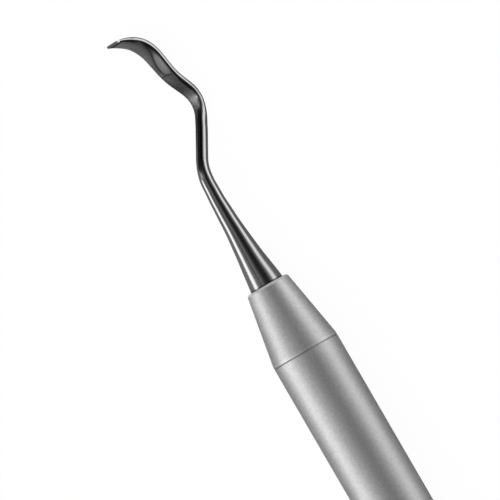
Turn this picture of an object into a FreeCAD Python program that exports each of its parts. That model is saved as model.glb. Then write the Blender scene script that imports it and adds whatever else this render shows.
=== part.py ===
import FreeCAD, Part
import math
import os

# Surgical chisel with a hooked strap blade.
# A hollow round handle carries a tapered nose cone at its front and a plain cap at its tail,
# both pressed in by a spigot. The working end is one forged piece: a tang in the cone's bore,
# a tapered round shank, two bends, and a flat strap that hooks over to a cutting edge.
# The tool lies on a bench at z = 0, as it comes to rest: on the side of its handle and on the
# low bend of its blade. +X runs along the handle to the cutting edge, +Z is up.
# Pieces are made with the seam between handle and cone at x = 0, then centred along X.
# Sizes are in millimetres, angles in degrees.

# Handle tube
handle_dia = 9.5
handle_wall = 1.0
handle_length = 110.0
seam_chamfer = 0.06

# Nose cone
cone_length = 10.2
cone_front_dia = 6.05
cone_shoulder_radius = 3.5
cone_lip_radius = 0.45
mouth_chamfer = 0.15

# Tail cap
cap_length = 7.5
cap_end_dia = 7.2
cap_shoulder_radius = 6.0
cap_lip_radius = 1.5

# Spigots of cone and cap in the tube
spigot_length = 9.0
spigot_chamfer = 0.4

# Tang of the working end in the cone's bore
tang_dia = 4.6
tang_length = 12.0
tang_chamfer = 0.3

# Line of the working end from the cone's mouth: straight shank, then bends and runs.
# A bend has a radius and a turn. A negative turn goes down to the bench.
shank_run = 14.8
neck_bend_radius = 6.54
neck_bend_angle = -36.9
neck_run = 5.93
elbow_radius = 3.89
elbow_angle = 67.85
elbow_run = 1.4
sway_radius = 8.8
sway_angle = -17.3
sway_run = 1.97
hook_radius = 5.12
hook_angle = 52.8
tip_radius = 9.4
tip_angle = 15.3

# Section of the working end: round to the neck, forged to a strap through the elbow
shank_dia = 4.72
taper_end_dia = 3.42
taper_end_at = 5.2
waist_dia = 2.46
waist_at = 10.2
neck_dia = 1.62
flatten_lead = 1.0
flatten_length = 4.6
widen_length = 6.2
strap_width = 2.5
strap_thickness = 1.02
strap_square_ratio = 4.0
blade_width = 3.13
edge_width = 2.86
edge_thickness = 0.33
grind_length = 3.2

# Ground edge
bevel_angle = 50.0
edge_corner = 0.3

# How finely the working end is worked out
section_points = 32
step_angle = 8.0
run_step = 1.6

handle_radius = handle_dia / 2
bore_radius = handle_radius - handle_wall


def line(a, b):
    """Straight edge between two (axial, radial) points of a turned profile."""
    return Part.LineSegment(FreeCAD.Vector(a[0], 0, a[1]), FreeCAD.Vector(b[0], 0, b[1])).toShape()


def polyline(corners):
    """Straight edges of a turned profile through a list of (axial, radial) points."""
    return [line(a, b) for a, b in zip(corners, corners[1:])]


def on_circle(centre, radius, angle):
    """Point (axial, radial) on a circle, its angle measured from the axis."""
    return centre[0] + radius * math.cos(angle), centre[1] + radius * math.sin(angle)


def arc(centre, radius, start, end):
    """Arc edge of a turned profile between two angles."""
    points = [on_circle(centre, radius, angle) for angle in (start, (start + end) / 2, end)]
    return Part.Arc(*[FreeCAD.Vector(x, 0, r) for x, r in points]).toShape()


def turned(edges):
    """Solid turned about the X axis from a closed profile of edges."""
    face = Part.Face(Part.Wire(Part.sortEdges(edges)[0]))
    return face.revolve(FreeCAD.Vector(0, 0, 0), FreeCAD.Vector(1, 0, 0), 360)


def taper_profile(length, end_radius, shoulder_radius, lip_radius):
    """Outside of a tapered end piece, from the seam at x = 0 to the inner rim of its end face.

    It leaves the seam in line with the handle, turns by the shoulder's arc to a straight taper
    whose sharp corner would be at end_radius, and ends in the arc of the lip.
    Returns the edges and the radius where the flat end face starts.
    """
    level = shoulder_radius - (handle_radius - end_radius)
    slope = math.asin(shoulder_radius / math.hypot(length, level)) - math.atan2(level, length)
    centre = (0.0, handle_radius - shoulder_radius)
    chamfer_end = math.pi / 2 - math.asin(seam_chamfer / shoulder_radius)
    taper_normal = math.pi / 2 - slope
    lip_inset = lip_radius * (1 - math.sin(slope)) / math.cos(slope)
    lip_centre = (length - lip_radius, end_radius - lip_inset)
    turn_end = on_circle(centre, shoulder_radius, taper_normal)
    lip_start = on_circle(lip_centre, lip_radius, taper_normal)
    edges = [
        line((0.0, handle_radius - seam_chamfer), on_circle(centre, shoulder_radius, chamfer_end)),
        arc(centre, shoulder_radius, chamfer_end, taper_normal),
        line(turn_end, lip_start),
        arc(lip_centre, lip_radius, taper_normal, 0.0),
    ]
    return edges, lip_centre[1]


def spigot_profile():
    """Back of an end piece: the face on the tube's end and the spigot in its bore, to the axis."""
    return polyline([
        (0.0, handle_radius - seam_chamfer),
        (0.0, bore_radius),
        (spigot_chamfer - spigot_length, bore_radius),
        (-spigot_length, bore_radius - spigot_chamfer),
        (-spigot_length, 0.0),
    ])


def make_handle_tube():
    """Tube from its tail end to the seam at x = 0, with a fine chamfer on both outer rims."""
    tail = -handle_length
    corners = [
        (tail, bore_radius),
        (tail, handle_radius - seam_chamfer),
        (tail + seam_chamfer, handle_radius),
        (-seam_chamfer, handle_radius),
        (0.0, handle_radius - seam_chamfer),
        (0.0, bore_radius),
    ]
    return turned(polyline(corners + corners[:1]))


def make_nose_cone():
    """Cone with its spigot in the tube and a blind bore for the tang, chamfered at the mouth."""
    front = cone_length
    bottom = cone_length - tang_length
    bore = tang_dia / 2
    outside, face_radius = taper_profile(front, cone_front_dia / 2, cone_shoulder_radius, cone_lip_radius)
    inside = polyline([
        (front, face_radius),
        (front, bore + mouth_chamfer),
        (front - mouth_chamfer, bore),
        (bottom, bore),
        (bottom, 0.0),
        (-spigot_length, 0.0),
    ])
    return turned(outside + inside + spigot_profile())


def make_tail_cap():
    """Closed cap with the same spigot, turned round so that it points to the tail."""
    end = cap_length
    outside, face_radius = taper_profile(end, cap_end_dia / 2, cap_shoulder_radius, cap_lip_radius)
    inside = polyline([(end, face_radius), (end, 0.0), (-spigot_length, 0.0)])
    cap = turned(outside + inside + spigot_profile())
    cap.rotate(FreeCAD.Vector(0, 0, 0), FreeCAD.Vector(0, 0, 1), 180)
    cap.translate(FreeCAD.Vector(-handle_length, 0, 0))
    return cap


def line_parts():
    """Runs and bends of the working end as (length, turn in radians)."""
    parts = [(shank_run, 0.0)]
    for radius, turn, run in (
        (neck_bend_radius, neck_bend_angle, neck_run),
        (elbow_radius, elbow_angle, elbow_run),
        (sway_radius, sway_angle, sway_run),
        (hook_radius, hook_angle, 0.0),
        (tip_radius, tip_angle, 0.0),
    ):
        parts.append((radius * abs(math.radians(turn)), math.radians(turn)))
        if run > 0:
            parts.append((run, 0.0))
    return parts


def stations():
    """Places along the working end as (length from the mouth, x, q, heading), q being across."""
    at, x, q, heading = 0.0, cone_length, 0.0, 0.0
    places = [(at, x, q, heading)]
    for length, turn in line_parts():
        if turn:
            steps = max(2, math.ceil(abs(math.degrees(turn)) / step_angle))
        else:
            steps = max(1, math.ceil(length / run_step))
        for _ in range(steps):
            step = length / steps
            bend = turn / steps
            chord = step if not turn else 2 * step / bend * math.sin(bend / 2)
            x += chord * math.cos(heading + bend / 2)
            q += chord * math.sin(heading + bend / 2)
            heading += bend
            at += step
            places.append((at, x, q, heading))
    return places


def law(knots, at):
    """Smooth value at a length: cubic pieces between knots, with no overshoot past them."""
    if at <= knots[0][0]:
        return knots[0][1]
    if at >= knots[-1][0]:
        return knots[-1][1]
    grade = [(b[1] - a[1]) / (b[0] - a[0]) for a, b in zip(knots, knots[1:])]
    slope = [grade[0]]
    for before, after in zip(grade, grade[1:]):
        slope.append(2 * before * after / (before + after) if before * after > 0 else 0.0)
    slope.append(grade[-1])
    k = max(i for i in range(len(knots) - 1) if knots[i][0] <= at)
    gap = knots[k + 1][0] - knots[k][0]
    t = (at - knots[k][0]) / gap
    start = (1 + 2 * t) * (1 - t) ** 2 * knots[k][1] + t * (1 - t) ** 2 * gap * slope[k]
    end = t * t * (3 - 2 * t) * knots[k + 1][1] - t * t * (1 - t) * gap * slope[k + 1]
    return start + end


def section_laws():
    """Width, thickness and squareness of the section as knots along the working end."""
    lengths = [length for length, _ in line_parts()]
    neck_at = sum(lengths[:2])
    flat_from = sum(lengths[:3]) - flatten_lead
    flat_to = flat_from + flatten_length
    end = sum(lengths)
    round_part = [
        (0.0, shank_dia),
        (taper_end_at, taper_end_dia),
        (waist_at, waist_dia),
        (neck_at, neck_dia),
        (flat_from, neck_dia),
    ]
    width = round_part + [
        (flat_from + widen_length, strap_width),
        (end - grind_length, blade_width),
        (end, edge_width),
    ]
    thick = round_part + [
        (flat_to, strap_thickness),
        (end - grind_length, strap_thickness),
        (end, edge_thickness),
    ]
    square = [(flat_from, 2.0), (flat_to, strap_square_ratio)]
    return width, thick, square


def section_offsets(width, thick, square):
    """Points round a section as (across the strap, along its face normal).

    |across / half width| ^ square + |normal / half thickness| ^ square = 1.
    """
    points = []
    for i in range(section_points):
        angle = 2 * math.pi * i / section_points
        c = math.cos(angle)
        s = math.sin(angle)
        across = math.copysign(abs(c) ** (2 / square), c) * width / 2
        normal = math.copysign(abs(s) ** (2 / square), s) * thick / 2
        points.append((across, normal))
    return points


def sections():
    """Rings of (x, q, w) points along the working end, w being square to the plane of its bends."""
    width, thick, square = section_laws()
    rings = []
    for at, x, q, heading in stations():
        ring = []
        for across, normal in section_offsets(law(width, at), law(thick, at), law(square, at)):
            ring.append((x - normal * math.sin(heading), q + normal * math.cos(heading), across))
        rings.append(ring)
    return rings


def lie_angle(rings):
    """Roll about the handle's axis at which the blade's lowest point is level with the handle's."""
    def lowest(roll):
        return min(q * math.sin(roll) + w * math.cos(roll) for ring in rings for _, q, w in ring)

    low, high = 0.0, math.pi / 2
    if lowest(high) > -handle_radius:
        return high
    for _ in range(40):
        middle = (low + high) / 2
        if lowest(middle) > -handle_radius:
            low = middle
        else:
            high = middle
    return low


def edge_cutter(normal, across, place, reach):
    """Block whose flat side passes through place and that removes what lies along normal."""
    block = Part.makeBox(reach, 2 * reach, 2 * reach, FreeCAD.Vector(0, -reach, -reach))
    third = normal.cross(across)
    turn = FreeCAD.Rotation(normal, across, third, "XYZ")
    block.Placement = FreeCAD.Placement(place, turn)
    return block


def make_working_end():
    """Tang, shank and blade in one piece, with a single bevel and two small corner cuts."""
    rings = sections()
    wires = []
    for ring in rings:
        curve = Part.BSplineCurve()
        curve.interpolate(Points=[FreeCAD.Vector(*point) for point in ring], PeriodicFlag=True)
        wires.append(Part.Wire(curve.toShape()))
    blade = Part.makeLoft(wires, True)

    x, q, heading = stations()[-1][1:]
    along = FreeCAD.Vector(math.cos(heading), math.sin(heading), 0)
    face = FreeCAD.Vector(-math.sin(heading), math.cos(heading), 0)
    side = FreeCAD.Vector(0, 0, 1)
    tip = FreeCAD.Vector(x, q, 0) - face * (edge_thickness / 2)
    lean = math.radians(bevel_angle)
    reach = 2 * blade_width
    blade = blade.cut(edge_cutter(along * math.sin(lean) + face * math.cos(lean), side, tip, reach))
    for hand in (-1, 1):
        outward = side * hand
        corner = tip + outward * (edge_width / 2 - edge_corner)
        blade = blade.cut(edge_cutter((along + outward).normalize(), face, corner, reach))

    base = FreeCAD.Vector(cone_length - tang_length, 0, 0)
    ahead = FreeCAD.Vector(1, 0, 0)
    tang = Part.makeCylinder(tang_dia / 2, tang_length, base, ahead)
    rim = [edge for edge in tang.Edges if edge.BoundBox.XMax < base.x + tang_chamfer]
    tang = tang.makeChamfer(tang_chamfer, rim)
    piece = blade.fuse(tang).removeSplitter()
    piece.rotate(FreeCAD.Vector(0, 0, 0), ahead, math.degrees(lie_angle(rings)))
    return piece


def main():
    os.makedirs("parts", exist_ok=True)
    pieces = {
        "handle_tube": make_handle_tube(),
        "nose_cone": make_nose_cone(),
        "tail_cap": make_tail_cap(),
        "working_end": make_working_end(),
    }
    reach = max(shape.BoundBox.XMax for shape in pieces.values())
    tail = min(shape.BoundBox.XMin for shape in pieces.values())
    for name, shape in pieces.items():
        shape.translate(FreeCAD.Vector(-(reach + tail) / 2, 0, handle_radius))
        shape.exportStep("parts/" + name + ".step")
        box = shape.BoundBox
        print(name, "valid", shape.isValid(), "solids", len(shape.Solids), "faces", len(shape.Faces),
              "volume", round(shape.Volume, 3), "low", round(box.ZMin, 4),
              "x", round(box.XMin, 3), round(box.XMax, 3), "y", round(box.YMin, 3), round(box.YMax, 3),
              "z", round(box.ZMin, 3), round(box.ZMax, 3))
    print("lie angle", round(math.degrees(lie_angle(sections())), 3))


main()
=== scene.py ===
# %% [markdown]
# Surgical chisel with a hooked strap blade
#
# The real tool has four pieces of stainless steel. A hollow round handle carries a tapered nose
# cone and a plain tail cap, and the forged working end sits in the bore of the cone. The handle
# side is blasted to a soft satin grey. The working end is polished almost to a mirror, apart
# from the inner face of its strap, which keeps the fine grey grain of the last grinding.
#
# The solids come packed from CAD as a frame. This script stands finer meshes in their place,
# at the same sizes, and gives them light and finish. It reads nothing but that frame.

# %% Start from the packed frame
import math
import bpy
import numpy as np
from mathutils import Matrix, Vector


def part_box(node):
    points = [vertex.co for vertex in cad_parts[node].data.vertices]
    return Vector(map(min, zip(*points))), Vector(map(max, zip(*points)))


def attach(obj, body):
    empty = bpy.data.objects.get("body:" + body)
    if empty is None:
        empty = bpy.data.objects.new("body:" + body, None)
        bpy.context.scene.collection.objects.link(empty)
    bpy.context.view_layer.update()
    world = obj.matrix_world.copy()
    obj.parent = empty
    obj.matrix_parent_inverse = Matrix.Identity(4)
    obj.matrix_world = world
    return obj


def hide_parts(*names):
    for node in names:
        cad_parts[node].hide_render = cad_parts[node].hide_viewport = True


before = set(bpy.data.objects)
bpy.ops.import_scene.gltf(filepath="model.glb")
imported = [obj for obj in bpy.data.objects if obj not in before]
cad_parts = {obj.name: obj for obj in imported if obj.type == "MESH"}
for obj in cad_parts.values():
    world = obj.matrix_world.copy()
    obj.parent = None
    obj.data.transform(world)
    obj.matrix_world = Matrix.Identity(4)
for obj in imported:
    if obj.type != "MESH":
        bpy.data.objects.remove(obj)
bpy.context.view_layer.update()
print("CAD nodes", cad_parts)

# %% [markdown]
# Sizes
#
# Every size is a named value, as on a workshop drawing. They are written in millimetres,
# because steel tools are drawn so, and MM turns them into Blender's metres. The same values
# stand in the CAD source, apart from a few that are too fine for it: the round of the seam's
# rims, and how square the strap's section is and how much its sides lean. Only the place of the
# seam along X is read from the frame.

# %% Sizes of the handle and its two ends
MM = 0.001
HANDLE_RADIUS = 4.75
BORE_RADIUS = 3.75
HANDLE_LENGTH = 110.0
CONE_LENGTH = 10.2
CONE_FRONT_RADIUS = 3.025
CONE_SHOULDER = 3.5
CONE_LIP = 0.45
CAP_LENGTH = 7.5
CAP_END_RADIUS = 3.6
CAP_SHOULDER = 6.0
CAP_LIP = 1.5
SPIGOT_LENGTH = 9.0
SPIGOT_CHAMFER = 0.4
TANG_RADIUS = 2.3
TANG_LENGTH = 12.0
TANG_CHAMFER = 0.3
MOUTH_CHAMFER = 0.15
SEAM_ROUND = 0.09
SEAM_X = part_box("handle_tube")[1].x / MM
print("seam at x =", round(SEAM_X, 3), "mm")

# %% Sizes of the working end
SHANK_RUN = 14.8
# Each bend: its radius, its turn in degrees and the straight run after it.
BENDS = (
    (6.54, -36.9, 5.93),
    (3.89, 67.85, 1.4),
    (8.8, -17.3, 1.97),
    (5.12, 52.8, 0.0),
    (9.4, 15.3, 0.0),
)
# Places along the shank and its diameter there.
SHANK_DIAMETERS = ((0.0, 4.72), (5.2, 3.42), (10.2, 2.46))
NECK_DIAMETER = 1.62
FLATTEN_LEAD = 1.0
FLATTEN_LENGTH = 4.6
WIDEN_LENGTH = 6.2
STRAP_WIDTH = 2.5
STRAP_THICKNESS = 1.02
FACE_SQUARENESS = 3.1
BACK_SQUARENESS = 4.0
SIDE_LEAN = math.tan(math.radians(1.5))
BLADE_WIDTH = 3.13
EDGE_WIDTH = 2.86
EDGE_THICKNESS = 0.33
GRIND_LENGTH = 3.2
BEVEL_ANGLE = math.radians(50.0)
EDGE_CORNER = 0.3
LIE_ANGLE = math.radians(42.151)
print("shank", SHANK_DIAMETERS[0][1], "to", NECK_DIAMETER, "mm,", len(BENDS), "bends")

# %% [markdown]
# Camera
#
# The photograph looks straight down on the tool, from far away through a long lens, so the
# sides of the handle stay parallel. The frame is 500 pixels wide, and the handle is 72.2 of
# them across, which gives the width of the view. The camera leans a little to the tail side,
# which is why the seam bulges towards the tip.

# %% Place the camera
HANDLE_PIXELS = 72.2
FRAME_PIXELS = 500
AIM_PIXELS = (116.17, -2.771)
PIXEL = 2 * HANDLE_RADIUS / HANDLE_PIXELS
VIEW_WIDTH = FRAME_PIXELS * PIXEL * MM
VIEW_X = (SEAM_X + AIM_PIXELS[0] * PIXEL) * MM
VIEW_Y = AIM_PIXELS[1] * PIXEL * MM
LENS = 1200.0
TURN_IN_FRAME = math.radians(30.1)
LEAN = math.radians(1.2)
CLIP_START = 0.1
CLIP_END = 20.0


def unit(vector):
    """The vector divided by its length."""
    return vector / np.linalg.norm(vector, axis=-1, keepdims=True)


def place_camera():
    """A camera above the aim point. Its distance is view width * lens / sensor width, and its up
    direction is the handle's axis turned by the frame's angle."""
    data = bpy.data.cameras.new("camera")
    data.lens = LENS
    camera = bpy.data.objects.new("camera", data)
    bpy.context.scene.collection.objects.link(camera)
    distance = VIEW_WIDTH * LENS / data.sensor_width
    aim = np.array([VIEW_X, VIEW_Y, HANDLE_RADIUS * MM])
    back = np.array([-math.sin(LEAN), 0.0, math.cos(LEAN)])
    up = np.array([math.cos(TURN_IN_FRAME), -math.sin(TURN_IN_FRAME), 0.0])
    right = unit(np.cross(up, back))
    up = np.cross(back, right)
    matrix = np.eye(4)
    matrix[:3, :3] = np.stack([right, up, back], axis=1)
    matrix[:3, 3] = aim + back * distance
    camera.matrix_world = Matrix(matrix.tolist())
    data.clip_start = CLIP_START
    data.clip_end = CLIP_END
    bpy.context.scene.camera = camera
    return distance


print("camera distance", round(place_camera(), 3), "m")

# %% [markdown]
# Sums with sockets
#
# A procedural finish is mostly arithmetic: a noise times a mask plus a base value. Blender
# writes that as chains of Math nodes. The small class Wire stands for one output socket, and
# Python's own signs on it add the Math nodes, so a finish reads as a formula. Everything that
# isn't a sum comes from one method, add, which takes a node's type, its settings and its inputs.

# %% A class for sockets and one for node trees
class Wire:
    """An output socket. The signs + - * and ** between wires and numbers add Math nodes."""

    def __init__(self, tree, socket):
        self.tree = tree
        self.socket = socket

    def math(self, operation, *values):
        """A Math node on this wire and the values after it."""
        inputs = dict(enumerate((self, *values)))
        return self.tree.add("ShaderNodeMath", {"operation": operation}, inputs)

    def __add__(self, other):
        return self.math("ADD", other)

    def __radd__(self, other):
        return self.math("ADD", other)

    def __mul__(self, other):
        return self.math("MULTIPLY", other)

    def __rmul__(self, other):
        return self.math("MULTIPLY", other)

    def __sub__(self, other):
        return self.math("SUBTRACT", other)

    def __rsub__(self, other):
        return self.tree.add("ShaderNodeMath", {"operation": "SUBTRACT"}, {0: other, 1: self})

    def __pow__(self, other):
        return self.math("POWER", other)

    def step(self, start, end):
        """Smooth step: 0 where this wire is at start, 1 where it is at end."""
        settings = {"interpolation_type": "SMOOTHSTEP"}
        return self.tree.add("ShaderNodeMapRange", settings, {0: self, 1: start, 2: end})


class Tree:
    """The nodes of a material or of the world, emptied first."""

    def __init__(self, owner):
        owner.use_nodes = True
        self.nodes = owner.node_tree.nodes
        self.links = owner.node_tree.links
        self.nodes.clear()

    def add(self, kind, settings=None, inputs=None, output=0):
        """A node of this kind: first its settings, then the values or wires of its inputs."""
        node = self.nodes.new(kind)
        for name, value in (settings or {}).items():
            setattr(node, name, value)
        for name, value in (inputs or {}).items():
            if isinstance(value, Wire):
                self.links.new(value.socket, node.inputs[name])
            else:
                node.inputs[name].default_value = value
        return Wire(self, node.outputs[output]) if len(node.outputs) else None

    def outputs_of(self, wire, *names):
        """Other outputs of the node that a wire comes from."""
        return [Wire(self, wire.socket.node.outputs[name]) for name in names]


print("signs on a wire:", [name for name in vars(Wire) if name.startswith("__r")])

# %% [markdown]
# Surfaces from arrays
#
# Each piece is a grid of points: rows run along a profile or a path, columns run round it. The
# whole grid is worked out at once with numpy. The helpers here join the grid into quads, close
# its two ends with a fan round one middle point, and put the result into a mesh whose faces
# look outwards. A sign test on the enclosed volume turns the faces over if they look inwards.

# %% Helpers that make a mesh from a grid
def grid_quads(rows, columns):
    """Corners of the quads between neighbouring rows; the last column joins the first."""
    here = np.arange(columns)
    ahead = np.roll(here, -1)
    first = np.arange(rows - 1)[:, None] * columns
    corners = [first + here, first + ahead, first + columns + ahead, first + columns + here]
    return np.stack(corners, axis=-1).reshape(-1, 4)


def fan(ring, middle):
    """Triangles from one middle point to each pair of neighbours in a ring."""
    return np.stack([ring, np.roll(ring, -1), np.full(len(ring), middle)], axis=-1)


def enclosed_volume(points, triangles):
    """Sum of the tetrahedra from the origin to each triangle; positive if faces look outwards."""
    a, b, c = (points[triangles[:, k]] for k in range(3))
    return float(np.einsum("ij,ij->i", a, np.cross(b, c)).sum() / 6)


def make_piece(name, points, quads, triangles, sharp_angle=30.0):
    """An object at the origin from points in millimetres, its faces looking outwards."""
    halves = np.concatenate([quads[:, [0, 1, 2]], quads[:, [0, 2, 3]], triangles])
    if enclosed_volume(points, halves) < 0:
        quads = quads[:, ::-1]
        triangles = triangles[:, ::-1]
    mesh = bpy.data.meshes.new(name)
    mesh.from_pydata((points * MM).tolist(), [], quads.tolist() + triangles.tolist())
    mesh.polygons.foreach_set("use_smooth", np.ones(len(mesh.polygons), bool))
    mesh.set_sharp_from_angle(angle=math.radians(sharp_angle))
    mesh.validate()
    mesh.update()
    piece = bpy.data.objects.new(name, mesh)
    bpy.context.scene.collection.objects.link(piece)
    return piece


def dress(piece, material, slot, *nodes):
    """The piece gets its finish and the CAD nodes that it stands for. The slot is not used."""
    piece.data.materials.append(material)
    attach(piece, "root")
    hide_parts(*nodes)
    print(piece.name, len(piece.data.polygons), "faces")


print("quads of a grid with 3 rows and 4 columns:", len(grid_quads(3, 4)))

# %% [markdown]
# Floor and background
#
# The photograph shows the tool on pure white. A pale floor that gives off white to the camera
# makes that white without more light on the steel. A share of the floor stays an ordinary
# matt white lit by the lamp, so the tool still lays a faint shadow on it.

# %% Lay the floor
FLOOR_Z = -0.2
FLOOR_SIZE = 4000.0
SHADOW_SHARE = 0.03


def flat_sheet(name, size, height):
    """A square sheet in millimetres, level at a height and looking up."""
    half = size / 2
    corners = np.array([[-half, -half], [half, -half], [half, half], [-half, half]])
    points = np.column_stack([corners, np.full(4, height)]) * MM
    mesh = bpy.data.meshes.new(name)
    mesh.from_pydata(points.tolist(), [], [[0, 1, 2, 3]])
    sheet = bpy.data.objects.new(name, mesh)
    bpy.context.scene.collection.objects.link(sheet)
    return sheet


def seen_rays(tree):
    """1 for a ray that shows the background: from the camera, a reflection or through glass."""
    camera = tree.add("ShaderNodeLightPath")
    glossy, through = tree.outputs_of(camera, "Is Glossy Ray", "Is Transmission Ray")
    return camera.math("MAXIMUM", glossy).math("MAXIMUM", through)


def make_floor_material():
    """White glow for rays that show the background, less the share that stays matt for shadow."""
    material = bpy.data.materials.new("pale_floor")
    tree = Tree(material)
    white = (1.0, 1.0, 1.0, 1.0)
    matt = tree.add("ShaderNodeBsdfDiffuse", inputs={"Color": white})
    glow = tree.add("ShaderNodeEmission", inputs={"Color": white, "Strength": 1.0})
    share = seen_rays(tree) * (1 - SHADOW_SHARE)
    both = tree.add("ShaderNodeMixShader", inputs={0: share, 1: matt, 2: glow})
    tree.add("ShaderNodeOutputMaterial", inputs={"Surface": both})
    return material


floor = flat_sheet("floor", FLOOR_SIZE, FLOOR_Z)
floor.data.materials.append(make_floor_material())
print("floor", FLOOR_SIZE, "mm wide at z =", FLOOR_Z, "mm")

# %% [markdown]
# Lamp and world
#
# One wide lamp hangs overhead and is soft because it is large. Its power is worked out so that
# a matt white on the floor comes out just white, together with the even light of the world.
# The lamp is hidden from reflections: what the steel mirrors is set apart, in the light tent.

# %% Hang the lamp and light the world
LAMP_SIZE = 3.5
LAMP_HEIGHT = 3.0
LAMP_SHARE = 0.6
LAMP_SHIFT = 1.5
LAMP_PATCHES = 40


def lamp_share(size, height, shift):
    """Share of the aim point's sky that the tilted lamp fills: the sum over its patches of
    cosine at the floor * cosine at the lamp * area / (pi * distance squared)."""
    distance = math.hypot(height, shift)
    patch = size / LAMP_PATCHES
    steps = (np.arange(LAMP_PATCHES) + 0.5) * patch - size / 2
    across, along = np.meshgrid(steps, steps)
    tilt = math.atan2(shift, height)
    up = height - along * math.sin(tilt)
    squared = distance ** 2 + across ** 2 + along ** 2
    return float(np.sum(up * distance / squared ** 2) * patch ** 2 / math.pi)


lamp_data = bpy.data.lights.new("overhead_lamp", "AREA")
lamp_data.shape = "SQUARE"
lamp_data.size = LAMP_SIZE
glow_needed = LAMP_SHARE / lamp_share(LAMP_SIZE, LAMP_HEIGHT, LAMP_SHIFT)
lamp_data.energy = glow_needed * math.pi * LAMP_SIZE ** 2
lamp = bpy.data.objects.new("overhead_lamp", lamp_data)
lamp.location = (VIEW_X, LAMP_SHIFT, LAMP_HEIGHT)
lamp.rotation_euler = (-math.atan2(LAMP_SHIFT, LAMP_HEIGHT), 0.0, 0.0)
lamp.visible_glossy = False
lamp.visible_camera = False
bpy.context.scene.collection.objects.link(lamp)

world = bpy.data.worlds.new("white_room")
bpy.context.scene.world = world
sky = Tree(world)
seen = seen_rays(sky)
level = seen + (1 - seen) * (1 - LAMP_SHARE)
backdrop = sky.add("ShaderNodeBackground", inputs={"Color": (1, 1, 1, 1), "Strength": level})
sky.add("ShaderNodeOutputWorld", inputs={"Surface": backdrop})
bpy.context.scene.view_settings.view_transform = "Standard"
print("lamp power", round(lamp_data.energy, 2), "W")

# %% [markdown]
# Light tent
#
# Polished steel has no colour of its own: it shows what stands round it. A photographer sets a
# long soft box on each side of such a tool and keeps the ceiling dark, so that each round
# surface carries two white lines with black between them. Boxes could be hung in the air as
# separate sheets. Here one dome holds all the light, because a box is then a row of numbers
# that can be moved without a gap. The dome is seen by reflections only.

# %% Shape the tent
TENT_RADIUS = 900.0
TENT_ROWS = 24
TENT_COLUMNS = 64
TENT_TOP = 0.999
CARD_Z = -0.1


def dome_points(radius, rows, columns):
    """A half sphere: height is radius * sin(up), the ring's radius is radius * cos(up)."""
    up = np.linspace(0.0, math.pi / 2 * TENT_TOP, rows)[:, None]
    around = np.linspace(0.0, 2 * math.pi, columns, endpoint=False)[None, :]
    x = VIEW_X / MM + radius * np.cos(up) * np.cos(around)
    y = radius * np.cos(up) * np.sin(around)
    z = radius * np.sin(up) * np.ones_like(around) + CARD_Z
    return np.stack([x, y, z], axis=-1).reshape(-1, 3)


def only_for_reflections(sheet):
    """Only glossy rays meet the object; it is hidden from all other rays."""
    for kind in ("camera", "diffuse", "transmission", "shadow", "volume_scatter"):
        setattr(sheet, "visible_" + kind, False)
    return sheet


def make_tent():
    """The dome as a grid of quads, with a hole of one or two millimetres left at its top."""
    points = dome_points(TENT_RADIUS, TENT_ROWS, TENT_COLUMNS)
    quads = grid_quads(TENT_ROWS, TENT_COLUMNS)
    mesh = bpy.data.meshes.new("light_tent")
    mesh.from_pydata((points * MM).tolist(), [], quads.tolist())
    mesh.polygons.foreach_set("use_smooth", np.ones(len(mesh.polygons), bool))
    dome = bpy.data.objects.new("light_tent", mesh)
    bpy.context.scene.collection.objects.link(dome)
    return only_for_reflections(dome)


tent = make_tent()
print("tent", len(tent.data.polygons), "faces")

# %% [markdown]
# Panels of the tent
#
# A direction is read as two numbers. Its roll is the angle from straight up to the side, in
# degrees and negative on the left. Its share tells how far it points along the handle, from -1
# at the tail to 1 at the tip. A panel glows between two rolls and two shares, and fades over a
# width at each side. The two soft boxes light the blade and the handle. Dim walls and a ceiling
# give the greys between them, a bounce panel lights the bends, a small patch at the front lights
# the cone, and a third box towards the tail serves the sides that the photograph doesn't show.

# %% Light the tent
ROOM_LEVEL = 1.35
# Each panel: its strength, its rolls (start, end, fade) and its shares (start, end, fade).
WALLS = {
    "bounce panel": (0.58, (-66.0, -34.0, 16.0), (-0.20, 0.05, 0.08)),
    "right wall": (0.16, (38.0, 100.0, 20.0), (-0.35, 2.0, 0.2)),
    "line in the ceiling": (0.13, (-28.0, -16.0, 10.0), (-0.35, 2.0, 0.2)),
    "ceiling": (0.078, (-70.0, -4.0, 26.0), (-0.35, 2.0, 0.2)),
    "haze": (0.010, (-400.0, 400.0, 1.0), (-0.35, 2.0, 0.2)),
    "left wall": (0.11, (-120.0, -42.0, 20.0), (-0.66, 2.0, 0.12)),
    "left wall behind": (0.10, (-120.0, -18.0, 14.0), (-0.44, -0.10, 0.08)),
}
SMALL_BOXES = {
    "front patch": (0.35, (-100.0, -42.0, 20.0), (0.42, 0.60, 0.08)),
    "third box": (0.42, (42.0, 76.0, 12.0), (-0.76, -0.50, 0.08)),
    "low box behind": (0.13, (-120.0, -79.0, 10.0), (-1.2, -0.44, 0.08)),
}
LEFT_ROLLS = (-120.0, -63.0, 16.0)
LEFT_SHARES = (-0.14, 0.36, 0.12)
RIGHT_ROLLS = (58.0, 100.0, 12.0)
RIGHT_LOW_END = (0.0, 85.5, 10.0)
# Each drift: the share where it starts, the share where it is complete, and the change by then.
# The boxes turn and drop in degrees. The levels begin with their value before any drift.
BOXES_TURN = (0.14, 0.34, 5.0)
RIGHT_DROP = ((-0.03, -0.10, -17.0), (-0.25, -0.60, -8.0))
LEFT_LEVEL = (1.55, (0.2, 0.34, 0.12))
RIGHT_LEVEL = (0.6, (-0.4, -0.1, 0.4), (0.1, 0.4, -0.2))
FRONT_FADE = (1.0, (0.45, 0.75, -0.9))
LEAST_LIGHT = (0.010, (0.55, 0.8, -0.010))


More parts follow.
